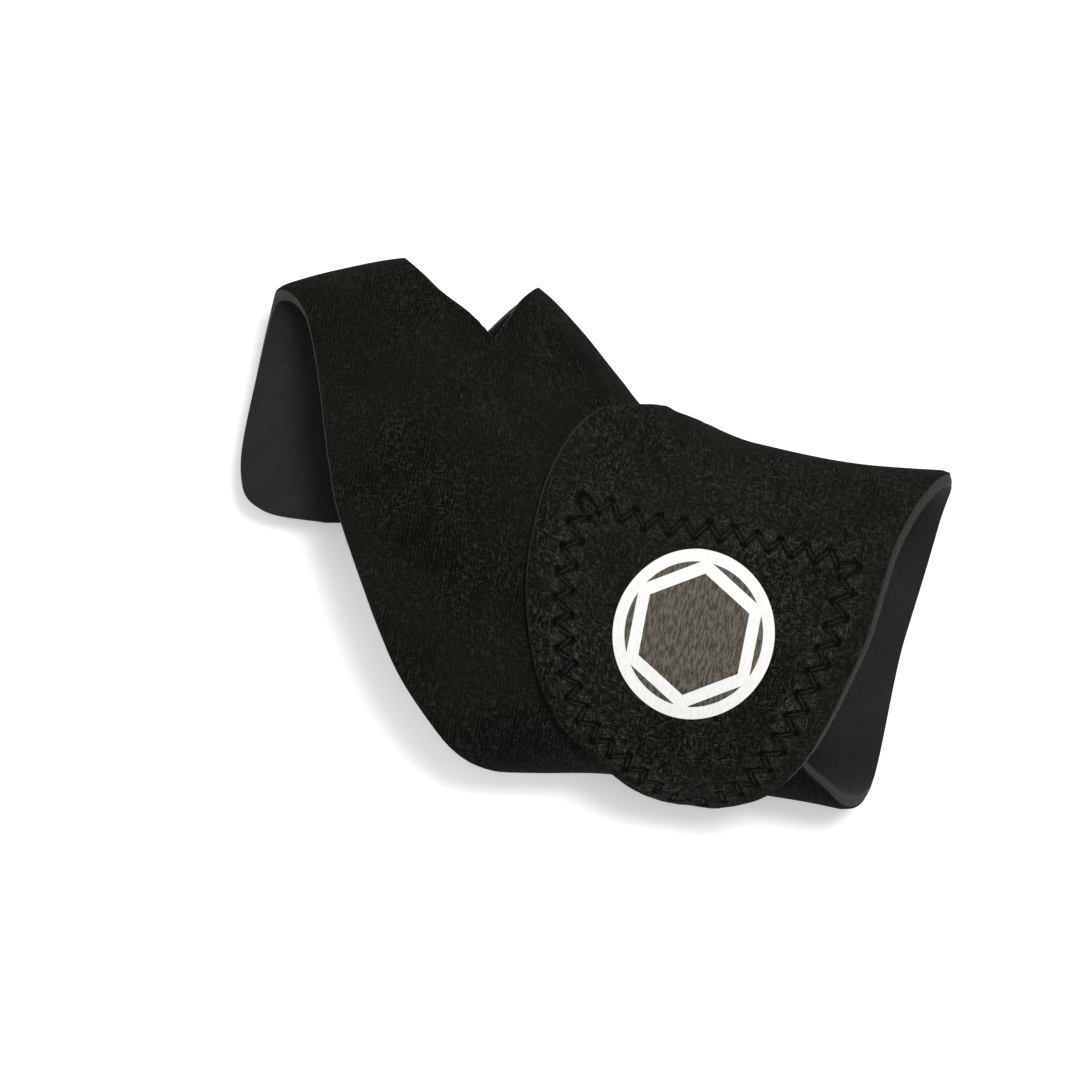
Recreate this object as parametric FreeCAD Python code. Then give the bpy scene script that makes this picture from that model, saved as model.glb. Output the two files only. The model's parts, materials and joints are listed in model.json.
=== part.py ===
"""Wrist support brace for gymnasts: one spiral strap of foam laminate, shown as it is worn.

The strap starts in the palm, passes between thumb and forefinger with the thumb through its hole,
crosses the back of the hand, goes round under the wrist and closes with a tongue over the wrist.
+X runs along the forearm to the elbow, +Y is the thumb side, +Z is the back of the hand, and the
brace lies on Z = 0. Sizes are millimetres. An angle runs round the arm, 0 at the thumb side and 90
at the back of the hand, and keeps counting up along the strap, so a second turn starts at 360.
"""
import FreeCAD, Part
import math
import os

V = FreeCAD.Vector

# Laminate, from the skin outwards. GLUE is the bond line between two of its layers.
THICK = 2.8
LINING = 0.4
FABRIC = 0.45
GLUE = 0.02
# Hook patch under the tongue
HOOK_BASE = 0.5
HOOK_PILE = 0.42
HOOK_INSET = 6.0
HOOK_START, HOOK_END = 413.0, 531.0
# Fit between one turn of the strap and the next, and between bodies that move
CLEAR = 0.25
JOINT_GAP = 0.2
# A fold line's height over the fabric, so that the two sides part as the flap opens
FOLD_RISE = 0.9
# Sewing thread, lying over the fabric in zigzags either side of the seam's line
THREAD_R = 0.18
THREAD_GAP = 0.1
STITCH_PITCH = 2.3
STITCH_HALF = 1.5
# The share of a zigzag's length that shows, either side of its middle, before it goes into the fabric
STITCH_SHOWN = 0.46
# Emblem on the tongue
EMBLEM_X, EMBLEM_Y = 15.0, -8.0
EMBLEM_R = 15.2
EMBLEM_STROKE = 2.2
# The hexagon in the ring: the width of its line at the corners, and how far they run into the ring
HEXAGON_STROKE = 2.6
HEXAGON_BITE = 0.6
# How far the dark disc stays inside the ring's outer edge
GROUND_INSET = 0.3
INK = 0.07
# Height of the arm's axis over the resting face
AXIS_Z = 25.65
# The arm's cross-section is a superellipse: its power, and how much squarer the palm's side is
OVAL = 2.2
OVAL_PALM = 1.6
TURN = THICK + CLEAR
STRAP_START, STRAP_END = -100.0, 543.0
# The second turn starts to lie over the first at LAP_START. Either rises over LAP_RISE degrees, and
# comes down from the edge of the turn under it to the skin over STEP_DOWN millimetres.
LAP_START, LAP_RISE = 183.0, 35.0
STEP_DOWN = 15.0
# Over the hook patch the strap stands off by the patch, and by BARE_LIFT where it has no turn under it
PATCH_START, PATCH_RISE = 395.0, 25.0
PATCH_ROOM = 0.08
BARE_LIFT = 1.15
# The elbow-side edge of the palm starts to be covered at this x
PALM_END = 4.0
ROOT_SPLITS = (44.0, 184.0)
# Fold lines: two points in plan on each, the angle they lie near, and the way up from them
FLAP_FOLD = ((-14.0, 20.0), (53.0, 23.0), 400.0, 62.0)
TIP_FOLD = ((-9.0, -27.0), (43.0, -27.0), 504.0, 122.0)


def curve(points):
    """A smooth function through (x, y) points, straight past its two ends."""
    xs = [p[0] for p in points]
    ys = [p[1] for p in points]
    steps = [b - a for a, b in zip(xs, xs[1:])]
    slopes = [(b - a) / h for a, b, h in zip(ys, ys[1:], steps)]
    inner = [(a + b) / 2 for a, b in zip(slopes, slopes[1:])]
    m = [slopes[0]] + inner + [slopes[-1]]

    def at(x):
        if x <= xs[0]:
            return ys[0] + m[0] * (x - xs[0])
        if x >= xs[-1]:
            return ys[-1] + m[-1] * (x - xs[-1])
        i = sum(1 for k in xs[1:-1] if x > k)
        t = (x - xs[i]) / steps[i]
        rise = ys[i + 1] - ys[i]
        ease = t * t * (3 - 2 * t)
        pull = m[i] * t * (1 - t) ** 2 - m[i + 1] * t * t * (1 - t)
        return ys[i] + rise * ease + steps[i] * pull

    return at


def ease(t):
    """0 before t = 0, 1 after t = 1, smooth between."""
    t = min(1.0, max(0.0, t))
    return t * t * (3 - 2 * t)


# The arm that the brace wraps: how far its skin is from the axis, along the arm
thumb_side = curve([(-75, 36.5), (-62, 43), (-50, 47.6), (-38, 48.8), (-28, 47.8), (-18, 41.6),
                    (-9, 34), (-3, 29), (4, 26.2), (20, 26.1), (35, 25.8), (50, 27), (62, 28.8)])
little_side = curve([(-75, -44), (-50, -43), (-30, -40), (-15, -37.7), (5, -34.2), (20, -33),
                     (50, -32.3), (62, -33)])
back_of_hand = curve([(-75, 15.5), (-50, 18), (-25, 19.6), (0, 20), (62, 20)])
palm = curve([(-75, 10), (-55, 11.5), (-35, 16), (-20, 19.2), (-10, 20), (4, 20)])

# The strap's two edges: x at each angle along it
far_edge = curve([(-100, -56), (-93, -64), (-80, -69.5), (-50, -73.5), (-20, -74), (0, -72),
                  (16, -65.3), (32, -61), (63, -56.4), (86, -53.8), (110, -50), (127, -46.3),
                  (141, -42), (153, -36.3), (165, -27), (175, -18.5), (184, -13.2), (200, -11.5),
                  (270, -12), (320, -9), (345, -3.5), (360, -0.5), (371, -3), (379, -7), (386, -11),
                  (394, -13.9), (404, -15.8), (417, -17.1), (437, -17.5), (458, -17.2), (473, -16.1),
                  (487, -14), (499, -10.7), (508, -5.8), (513, -0.8), (521, 4.9), (529, 10),
                  (536, 14.6), (543, 18.5)])
near_edge = curve([(-100, -18), (-93, -10), (-80, -5), (-50, -1), (0, 3), (45, 12), (90, 24),
                   (135, 34.5), (153, 40.4), (163, 45.6), (180, 50.5), (200, 54), (270, 56),
                   (320, 58), (360, 57.5), (371, 55.5), (391, 51.6), (404, 49.7), (424, 48.4),
                   (452, 47.2), (472, 45.4), (491, 43), (508, 39.5), (521, 35), (529, 30.5),
                   (536, 26.4), (543, 22.5)])
# Where the turn under the second one ends: x at each angle
under_edge = curve([(180, 4), (345, 4), (360, 5), (405, 14.5), (450, 26.5), (495, 37.5), (513, 44),
                    (543, 54)])


def skin(angle, x):
    """y and z of the skin, from the axis: an oval that is squarer on the palm's side."""
    t = math.radians(angle)
    c, s = math.cos(t), math.sin(t)
    middle = (thumb_side(x) + little_side(x)) / 2
    half = (thumb_side(x) - little_side(x)) / 2
    under = palm(min(x, PALM_END)) + TURN * ease((x - PALM_END) / STEP_DOWN)
    deep = back_of_hand(x) if s >= 0 else under
    n = OVAL + OVAL_PALM * max(0.0, -s) ** 2
    r = ((abs(c) / half) ** n + (abs(s) / deep) ** n) ** (-1 / n)
    return middle + r * c, r * s


def over_skin(angle, x, height):
    """The point at a height over the skin, along its normal."""
    (y0, z0), (y1, z1) = skin(angle - 1, x), skin(angle + 1, x)
    (ya, za), (yb, zb) = skin(angle, x - 0.5), skin(angle, x + 0.5)
    normal = V(0, y1 - y0, z1 - z0).cross(V(1, yb - ya, zb - za))
    normal.normalize()
    y, z = skin(angle, x)
    return V(x, y, z + AXIS_Z) + normal * height


def lift(angle, x):
    """How far the strap's inner face is from the skin, where it passes over an earlier turn."""
    if angle <= LAP_START:
        return 0.0
    patch = ease((angle - PATCH_START) / PATCH_RISE)
    over = TURN + (HOOK_BASE + HOOK_PILE + PATCH_ROOM) * patch
    bare = BARE_LIFT * patch
    cover = ease((angle - LAP_START) / LAP_RISE) * (1 - ease((x - under_edge(angle)) / STEP_DOWN))
    return bare + (over - bare) * cover


def on_strap(angle, x, height):
    """A point of the strap, at a height over its own inner face."""
    return over_skin(angle, x, lift(angle, x) + height)


def fold(ends, near, up_angle):
    """A fold line's middle, direction, and the direction across it, which leads along the strap."""
    tips = []
    for x, y in ends:
        low, high = near - 40, near + 40
        for _ in range(40):
            mid = (low + high) / 2
            low, high = (mid, high) if on_strap(mid, x, THICK).y > y else (low, mid)
        tips.append(on_strap(low, x, THICK))
    a, b = tips
    direction = (b - a).normalize()
    up = V(0, math.cos(math.radians(up_angle)), math.sin(math.radians(up_angle)))
    across = direction.cross(up).normalize()
    return (a + b) * 0.5 + up * FOLD_RISE, direction, across


def fold_angle(line, near, part, side, inset):
    """The strap angle where the fold's plane, moved by side, crosses it, part way over its width."""
    middle, _, across = line
    low, high = near - 45, near + 39
    for _ in range(40):
        mid = (low + high) / 2
        x = far_edge(mid) + inset + part * (near_edge(mid) - far_edge(mid) - 2 * inset)
        reach = (on_strap(mid, x, THICK) - middle).dot(across)
        low, high = (low, mid) if reach > side else (mid, high)
    return low


FLAP_LINE = fold(FLAP_FOLD[:2], FLAP_FOLD[2], FLAP_FOLD[3])
TIP_LINE = fold(TIP_FOLD[:2], TIP_FOLD[2], TIP_FOLD[3])


def at_angle(angle):
    return lambda part: angle


def at_fold(line, near, side, inset=0.0):
    return lambda part: fold_angle(line, near, part, side, inset)


ZONES = {
    "thumb_tab": (at_angle(STRAP_START), at_angle(ROOT_SPLITS[0])),
    "hand_panel": (at_angle(ROOT_SPLITS[0]), at_angle(ROOT_SPLITS[1])),
    "palm_strap": (at_angle(ROOT_SPLITS[1]), at_fold(FLAP_LINE, FLAP_FOLD[2], -JOINT_GAP)),
    "flap": (at_fold(FLAP_LINE, FLAP_FOLD[2], JOINT_GAP), at_fold(TIP_LINE, TIP_FOLD[2], -JOINT_GAP)),
    "flap_tip": (at_fold(TIP_LINE, TIP_FOLD[2], JOINT_GAP), at_angle(STRAP_END)),
}


def solid_between(low, high):
    """A closed solid between two grids of points that face each other."""
    faces = []
    surfaces = []
    for grid in (low, high):
        surface = Part.BSplineSurface()
        surface.interpolate(grid)
        surfaces.append(surface)
        faces.append(surface.toShape())
    a, b = surfaces
    for end in (0, 1):
        faces.append(Part.makeRuledSurface(a.uIso(end).toShape(), b.uIso(end).toShape(), 1))
        faces.append(Part.makeRuledSurface(a.vIso(end).toShape(), b.vIso(end).toShape(), 1))
    shell = Part.makeCompound(faces)
    shell.sewShape()
    solid = Part.Solid(shell.Shells[0])
    if solid.Volume < 0:
        solid.reverse()
    return solid


def sheet(start, end, low, high, inset=0.0, rows=18):
    """A solid part of the strap, from start to end along it and from low to high in its thickness."""
    widest = abs(end(0.5) - start(0.5))
    columns = max(8, int(widest / 5.5))
    grids = ([], [])
    for i in range(columns + 1):
        lines = ([], [])
        for j in range(rows + 1):
            part = j / rows
            first, last = start(part), end(part)
            angle = first + (last - first) * i / columns
            left, right = far_edge(angle) + inset, near_edge(angle) - inset
            x = left + (right - left) * part
            lines[0].append(on_strap(angle, x, low))
            lines[1].append(on_strap(angle, x, high))
        grids[0].append(lines[0])
        grids[1].append(lines[1])
    return solid_between(*grids)


def thumb_hole():
    """The cutter for the thumb hole: a rounded drop, pulled to a point towards the back of the hand."""
    outline = [(-31, 15.6), (-29, 11), (-26.8, 2), (-28, -7), (-34, -13), (-42.5, -12.5), (-49, -5),
               (-49, 3.5), (-43.5, 9.5), (-36, 13.2), (-32.2, 15.4)]
    spline = Part.BSplineCurve()
    spline.interpolate([V(x, 12, AXIS_Z + z) for x, z in outline], True)
    return Part.Face(Part.Wire(spline.toShape())).extrude(V(0, 60, 0))


def below_rest():
    """Everything under the resting face. The outer fabric that the brace lies on is pressed flat there."""
    return Part.makeBox(400, 400, 20, V(-200, -200, -20))


def laminate(zone):
    """The lining, foam core and outer fabric of one stretch of the strap."""
    start, end = ZONES[zone]
    layers = {
        "lining": sheet(start, end, 0.0, LINING),
        "foam_core": sheet(start, end, LINING + GLUE, THICK - FABRIC - GLUE),
        "outer_fabric": sheet(start, end, THICK - FABRIC, THICK),
    }
    if zone == "thumb_tab":
        cutter = thumb_hole()
        layers = {name: shape.cut(cutter) for name, shape in layers.items()}
    if zone == "palm_strap":
        layers["outer_fabric"] = layers["outer_fabric"].cut(below_rest())
    return {f"{zone}_{name}": shape for name, shape in layers.items()}


def hook_patch(zone, start, end):
    """The hook tape on the inner face of the tongue: woven base, then the field of hooks."""
    top = -GLUE
    base = sheet(start, end, top - HOOK_BASE, top, HOOK_INSET)
    field = sheet(start, end, top - GLUE - HOOK_BASE - HOOK_PILE, top - GLUE - HOOK_BASE, HOOK_INSET)
    return {f"{zone}_hook_base": base, f"{zone}_hook_field": field}


def seam_path():
    """Strap positions round the hook patch, as (angle, x), closed, about a millimetre apart."""
    margin = HOOK_INSET + STITCH_HALF
    steps = 60
    angles = [HOOK_START + 2 + (HOOK_END - HOOK_START - 3) * i / steps for i in range(steps + 1)]
    left = [(a, far_edge(a) + margin) for a in angles]
    right = [(a, near_edge(a) - margin) for a in angles]
    ends = []
    for a, b in ((left[-1], right[-1]), (right[0], left[0])):
        across = [(b[0] - a[0], b[1] - a[1], k / 20) for k in range(1, 20)]
        ends.append([(a[0] + u * t, a[1] + v * t) for u, v, t in across])
    return left + ends[0] + right[::-1] + ends[1]


def stitches():
    """Zigzag stitches along the seam path, as pairs of points just over the outer fabric."""
    path = seam_path()
    spots = [on_strap(a, x, THICK) for a, x in path]
    height = THREAD_R + THREAD_GAP
    points, walked, due, side = [], 0.0, 0.0, 1
    for i, here in enumerate(spots):
        following = spots[(i + 1) % len(spots)]
        along = following - here
        span = along.Length
        while due <= walked + span and span > 0:
            share = (due - walked) / span
            angle = path[i][0] + (path[(i + 1) % len(path)][0] - path[i][0]) * share
            x = path[i][1] + (path[(i + 1) % len(path)][1] - path[i][1]) * share
            centre = on_strap(angle, x, THICK)
            out = (on_strap(angle, x, THICK + 1) - centre).normalize()
            sideways = out.cross(along).normalize()
            points.append(centre + sideways * side * STITCH_HALF + out * height)
            side = -side
            due += STITCH_PITCH
        walked += span
    return list(zip(points, points[1:]))


def thread(pairs):
    """Straight stitches as short round threads, one solid each."""
    solids = []
    for a, b in pairs:
        step = (b - a) * STITCH_SHOWN
        middle = (a + b) * 0.5
        solids.append(Part.makeCylinder(THREAD_R, 2 * step.Length, middle - step, b - a))
    return Part.makeCompound(solids)


def emblem():
    """Two films of ink on the tongue: a dark disc, and on it a white ring round a plain hexagon."""
    start, end = ZONES["flap"]
    ground = sheet(start, end, THICK + GLUE, THICK + GLUE + INK)
    lines = sheet(start, end, THICK + 2 * GLUE + INK, THICK + 2 * GLUE + 2 * INK)
    centre = V(EMBLEM_X, EMBLEM_Y, 20)
    up = V(0, 0, 60)

    def disc(radius):
        return Part.Face(Part.Wire(Part.makeCircle(radius, centre))).extrude(up)

    def hexagon(reach):
        corners = [centre + V(reach * math.cos(math.radians(q)), reach * math.sin(math.radians(q)), 0)
                   for q in range(30, 391, 60)]
        return Part.Face(Part.makePolygon(corners)).extrude(up)

    inner = EMBLEM_R - EMBLEM_STROKE
    reach = inner + HEXAGON_BITE
    frame = hexagon(reach).cut(hexagon(reach - HEXAGON_STROKE))
    white = disc(EMBLEM_R).cut(disc(inner)).fuse(frame).common(disc(EMBLEM_R))
    return {"emblem_ground": ground.common(disc(EMBLEM_R - GROUND_INSET)), "emblem_lines": lines.common(white)}


def build():
    parts = {}
    for zone in ZONES:
        parts.update(laminate(zone))
    middle, _, across = TIP_LINE
    before, after = (at_fold(TIP_LINE, TIP_FOLD[2], side, HOOK_INSET) for side in (-JOINT_GAP, JOINT_GAP))
    parts.update(hook_patch("flap", at_angle(HOOK_START), before))
    parts.update(hook_patch("flap_tip", after, at_angle(HOOK_END)))
    seam = stitches()
    reach = [[(p - middle).dot(across) for p in pair] for pair in seam]
    parts["flap_seam_thread"] = thread([s for s, r in zip(seam, reach) if max(r) < -0.5])
    parts["flap_tip_seam_thread"] = thread([s for s, r in zip(seam, reach) if min(r) > 0.5])
    parts.update(emblem())
    return parts


def main():
    os.makedirs("parts", exist_ok=True)
    for name, shape in build().items():
        shape.exportStep(f"parts/{name}.step")
        box = shape.BoundBox
        ends = [round(c, 1) for c in (box.XMin, box.YMin, box.ZMin, box.XMax, box.YMax, box.ZMax)]
        print(f"{name:28s} solids {len(shape.Solids):3d} valid {shape.isValid()} "
              f"volume {shape.Volume:8.1f} box {ends if shape.Solids else None}")
    for name, (middle, direction, _) in (("flap", FLAP_LINE), ("tip", TIP_LINE)):
        spot = [round(c, 3) for c in middle]
        print(name, "fold through", spot, "along", [round(c, 5) for c in direction])


main()
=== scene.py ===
"""Wrist support brace: the visual model and its studio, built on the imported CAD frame.

The strap's shape repeats part.py's: an angle runs round the arm and keeps counting up along the
strap, x runs along the forearm, and heights are over the strap's inner face. Lengths are millimetres
until a mesh is made, and Blender's own metres from there on.
"""
import bpy
import json
import math
import numpy as np
from mathutils import Matrix, Vector


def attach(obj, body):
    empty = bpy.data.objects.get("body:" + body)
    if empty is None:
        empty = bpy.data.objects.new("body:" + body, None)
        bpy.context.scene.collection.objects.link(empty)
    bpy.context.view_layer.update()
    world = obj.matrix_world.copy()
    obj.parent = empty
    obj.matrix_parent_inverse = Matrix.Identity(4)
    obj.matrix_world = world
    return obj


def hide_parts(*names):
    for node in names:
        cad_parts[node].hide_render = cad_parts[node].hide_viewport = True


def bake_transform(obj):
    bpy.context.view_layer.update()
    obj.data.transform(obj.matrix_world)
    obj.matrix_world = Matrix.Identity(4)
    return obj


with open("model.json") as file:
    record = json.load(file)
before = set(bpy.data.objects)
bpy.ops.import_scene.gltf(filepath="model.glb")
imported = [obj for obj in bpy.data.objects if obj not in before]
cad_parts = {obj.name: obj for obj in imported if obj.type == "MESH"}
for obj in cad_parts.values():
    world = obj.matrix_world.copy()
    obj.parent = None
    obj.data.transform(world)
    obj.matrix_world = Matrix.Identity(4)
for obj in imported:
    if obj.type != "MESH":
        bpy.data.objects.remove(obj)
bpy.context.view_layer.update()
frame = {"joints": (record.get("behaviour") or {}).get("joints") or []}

# Laminate and fit, as in part.py
THICK = 2.8
LINING = 0.4
FABRIC = 0.45
GLUE = 0.02
HOOK_BASE = 0.5
HOOK_PILE = 0.42
HOOK_INSET = 6.0
HOOK_START, HOOK_END = 413.0, 531.0
CLEAR = 0.25
AXIS_Z = 25.65
TURN = THICK + CLEAR
OVAL, OVAL_PALM = 2.2, 1.6
LAP_START, LAP_RISE = 183.0, 35.0
STEP_DOWN = 15.0
PATCH_START, PATCH_RISE = 395.0, 25.0
PATCH_ROOM = 0.08
BARE_LIFT = 1.15
PALM_END = 4.0
STITCH_HALF = 1.5
STITCH_PITCH = 2.3
STITCH_DIVE = 0.3
THREAD_R = 0.18
EMBLEM_X, EMBLEM_Y = 15.0, -8.0
EMBLEM_R = 15.2
EMBLEM_STROKE = 2.2
HEXAGON_STROKE = 2.6
HEXAGON_BITE = 0.6

# Strap angles where the visual strap starts and ends, and the radius of the tongue's round end
START, END = -100.0, 543.6
TONGUE_END_R = 7.0
# Rows of points across the strap
ROWS = 97
# Millimetres between the points that stand for the seam's line
SEAM_STEP = 0.5
# The knit's ribs along the strap and rows across it
RIB_PITCH, ROW_PITCH = 0.66, 0.52
# A small step in angle or x, to measure which way the surface runs
NUDGE = 0.5


# ---------------------------------------------------------------- the strap's shape

def curve(points):
    """A smooth function through (x, y) points, straight past its two ends."""
    xs = np.array([p[0] for p in points], float)
    ys = np.array([p[1] for p in points], float)
    steps = np.diff(xs)
    slopes = np.diff(ys) / steps
    m = np.concatenate([slopes[:1], (slopes[:-1] + slopes[1:]) / 2, slopes[-1:]])

    def at(x):
        x = np.asarray(x, float)
        i = np.clip(np.searchsorted(xs, x, side="left") - 1, 0, len(steps) - 1)
        t = (x - xs[i]) / steps[i]
        smooth = t * t * (3 - 2 * t)
        pull = m[i] * t * (1 - t) ** 2 - m[i + 1] * t * t * (1 - t)
        y = ys[i] + (ys[i + 1] - ys[i]) * smooth + steps[i] * pull
        y = np.where(x <= xs[0], ys[0] + m[0] * (x - xs[0]), y)
        return np.where(x >= xs[-1], ys[-1] + m[-1] * (x - xs[-1]), y)

    return at


def ease(t):
    """From 0 to 1, level at both ends."""
    t = np.clip(t, 0.0, 1.0)
    return t * t * (3 - 2 * t)


def bell(distance, width):
    """1 at no distance, fading to nothing about twice the width away."""
    return np.exp(-(distance / width) ** 2)


thumb_side = curve([(-75, 36.5), (-62, 43), (-50, 47.6), (-38, 48.8), (-28, 47.8), (-18, 41.6),
                    (-9, 34), (-3, 29), (4, 26.2), (20, 26.1), (35, 25.8), (50, 27), (62, 28.8)])
little_side = curve([(-75, -44), (-50, -43), (-30, -40), (-15, -37.7), (5, -34.2), (20, -33),
                     (50, -32.3), (62, -33)])
back_of_hand = curve([(-75, 15.5), (-50, 18), (-25, 19.6), (0, 20), (62, 20)])
palm = curve([(-75, 10), (-55, 11.5), (-35, 16), (-20, 19.2), (-10, 20), (4, 20)])
far_edge = curve([(-100, -56), (-93, -64), (-80, -69.5), (-50, -73.5), (-20, -74), (0, -72),
                  (16, -65.3), (32, -61), (63, -56.4), (86, -53.8), (110, -50), (127, -46.3),
                  (141, -42), (153, -36.3), (165, -27), (175, -18.5), (184, -13.2), (200, -11.5),
                  (270, -12), (320, -9), (345, -3.5), (360, -0.5), (371, -3), (379, -7), (386, -11),
                  (394, -13.9), (404, -15.8), (417, -17.1), (437, -17.5), (458, -17.2), (473, -16.1),
                  (487, -14), (499, -10.7), (508, -5.8), (513, -0.8), (521, 4.9), (529, 10),
                  (536, 14.6), (543, 18.5)])
near_edge = curve([(-100, -18), (-93, -10), (-80, -5), (-50, -1), (0, 3), (45, 12), (90, 24),
                   (135, 34.5), (153, 40.4), (163, 45.6), (180, 50.5), (200, 54), (270, 56),
                   (320, 58), (360, 57.5), (371, 55.5), (391, 51.6), (404, 49.7), (424, 48.4),
                   (452, 47.2), (472, 45.4), (491, 43), (508, 39.5), (521, 35), (529, 30.5),
                   (536, 26.4), (543, 22.5)])
under_edge = curve([(180, 4), (345, 4), (360, 5), (405, 14.5), (450, 26.5), (495, 37.5), (513, 44),
                    (543, 54)])


def skin(angle, x):
    """y and z of the skin from the axis: an oval that is squarer on the palm's side."""
    t = np.radians(angle)
    c, s = np.cos(t), np.sin(t)
    thumb, little = thumb_side(x), little_side(x)
    under = palm(np.minimum(x, PALM_END)) + TURN * ease((x - PALM_END) / STEP_DOWN)
    deep = np.where(s >= 0, back_of_hand(x), under)
    n = OVAL + OVAL_PALM * np.maximum(0.0, -s) ** 2
    r = ((np.abs(c) / ((thumb - little) / 2)) ** n + (np.abs(s) / deep) ** n) ** (-1 / n)
    return (thumb + little) / 2 + r * c, r * s


def over_skin(angle, x, height):
    """Points at a height over the skin, along its normal, and those normals."""
    angle, x, height = np.broadcast_arrays(*(np.asarray(v, float) for v in (angle, x, height)))
    (y0, z0), (y1, z1) = skin(angle - 1, x), skin(angle + 1, x)
    (ya, za), (yb, zb) = skin(angle, x - NUDGE), skin(angle, x + NUDGE)
    round_arm = np.stack([np.zeros_like(x), y1 - y0, z1 - z0], -1)
    along_arm = np.stack([np.ones_like(x), yb - ya, zb - za], -1)
    normal = np.cross(round_arm, along_arm)
    normal /= np.linalg.norm(normal, axis=-1, keepdims=True)
    y, z = skin(angle, x)
    return np.stack([x, y, z + AXIS_Z], -1) + normal * height[..., None], normal


def lift(angle, x):
    """How far the strap's inner face is from the skin, where it passes over an earlier turn."""
    patch = ease((angle - PATCH_START) / PATCH_RISE)
    over = TURN + (HOOK_BASE + HOOK_PILE + PATCH_ROOM) * patch
    bare = BARE_LIFT * patch
    cover = ease((angle - LAP_START) / LAP_RISE) * (1 - ease((x - under_edge(angle)) / STEP_DOWN))
    return np.where(angle <= LAP_START, 0.0, bare + (over - bare) * cover)


def on_strap(angle, x, height):
    """Points of the strap at a height over its own inner face, pressed flat where it lies down."""
    points, _ = over_skin(angle, x, lift(angle, x) + height)
    points[..., 2] = np.maximum(points[..., 2], 0.0)
    return points


# Arc length along the middle of the strap, at each angle
ARC_ANGLES = np.arange(START - 5, END + 6, 0.5)
middle = on_strap(ARC_ANGLES, (far_edge(ARC_ANGLES) + near_edge(ARC_ANGLES)) / 2, THICK / 2)
ARCS = np.concatenate([[0], np.cumsum(np.linalg.norm(np.diff(middle[:, 1:], axis=0), axis=1))])


def arc(angle):
    """The arc length along the strap at an angle, in millimetres."""
    return np.interp(angle, ARC_ANGLES, ARCS)


# ---------------------------------------------------------------- the seam and the fabric's relief

def seam_line(step):
    """Strap positions (angle, x) round the hook patch, evenly spaced by about step millimetres."""
    margin = HOOK_INSET + STITCH_HALF
    angles = np.linspace(HOOK_START + 2, HOOK_END - 1, 300)
    near, far = near_edge(angles) - margin, far_edge(angles) + margin
    side_a = np.stack([angles, far], 1)
    side_b = np.stack([angles, near], 1)[::-1]
    cut = np.linspace(0, 1, 60)[1:-1, None]
    tip = side_a[-1] + (side_b[0] - side_a[-1]) * cut
    root = side_b[-1] + (side_a[0] - side_b[-1]) * cut
    path = np.concatenate([side_a, tip, side_b, root])
    for _ in range(90):  # rounds the four corners
        path = (np.roll(path, 1, 0) + 2 * path + np.roll(path, -1, 0)) / 4
    spots = on_strap(path[:, 0], path[:, 1], THICK)
    gaps = np.linalg.norm(np.roll(spots, -1, 0) - spots, axis=1)
    walked = np.concatenate([[0], np.cumsum(gaps)])
    closed = np.concatenate([path, path[:1]])
    count = int(walked[-1] / step)
    due = np.arange(count) * walked[-1] / count
    return np.stack([np.interp(due, walked, closed[:, k]) for k in (0, 1)], 1)


def needle_places():
    """Strap positions (angle, x) of the zigzag's needle holes, by turns on either side of the seam."""
    path = seam_line(STITCH_PITCH)
    path = path[:len(path) // 2 * 2]
    here = on_strap(path[:, 0], path[:, 1], THICK)
    along = np.roll(here, -1, 0) - np.roll(here, 1, 0)
    out = on_strap(path[:, 0], path[:, 1], THICK + 1.0) - here
    sideways = np.cross(out, along)
    sideways /= np.linalg.norm(sideways, axis=1, keepdims=True)
    # The step in strap coordinates that moves one millimetre sideways
    by_angle = (on_strap(path[:, 0] + NUDGE, path[:, 1], THICK) - here) / NUDGE
    by_x = (on_strap(path[:, 0], path[:, 1] + NUDGE, THICK) - here) / NUDGE
    aa, ax, xx = (np.sum(u * v, 1) for u, v in ((by_angle, by_angle), (by_angle, by_x), (by_x, by_x)))
    sa, sx = np.sum(sideways * by_angle, 1), np.sum(sideways * by_x, 1)
    det = aa * xx - ax ** 2
    way = np.where(np.arange(len(path)) % 2 == 0, 1.0, -1.0) * STITCH_HALF
    return path + np.stack([(sa * xx - sx * ax) / det, (sx * aa - sa * ax) / det], 1) * way[:, None]


SEAM = seam_line(SEAM_STEP)
SEAM_FLAT = np.stack([arc(SEAM[:, 0]), SEAM[:, 1]], 1)
NEEDLES = needle_places()
NEEDLE_HOLES = np.stack([arc(NEEDLES[:, 0]), NEEDLES[:, 1]], 1)
# The seam shows in the cloth from here on
SEAM_ANGLE = HOOK_START - 8


def closest_of(points, targets):
    """For each flat point, the number of the closest target and the distance to it."""
    number, gap = np.zeros(len(points), int), np.zeros(len(points))
    for k in range(0, len(points), 4000):  # a few at a time, to keep the tables small
        apart = np.linalg.norm(points[k:k + 4000, None] - targets[None], axis=2)
        number[k:k + 4000], gap[k:k + 4000] = apart.argmin(1), apart.min(1)
    return number, gap


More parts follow.
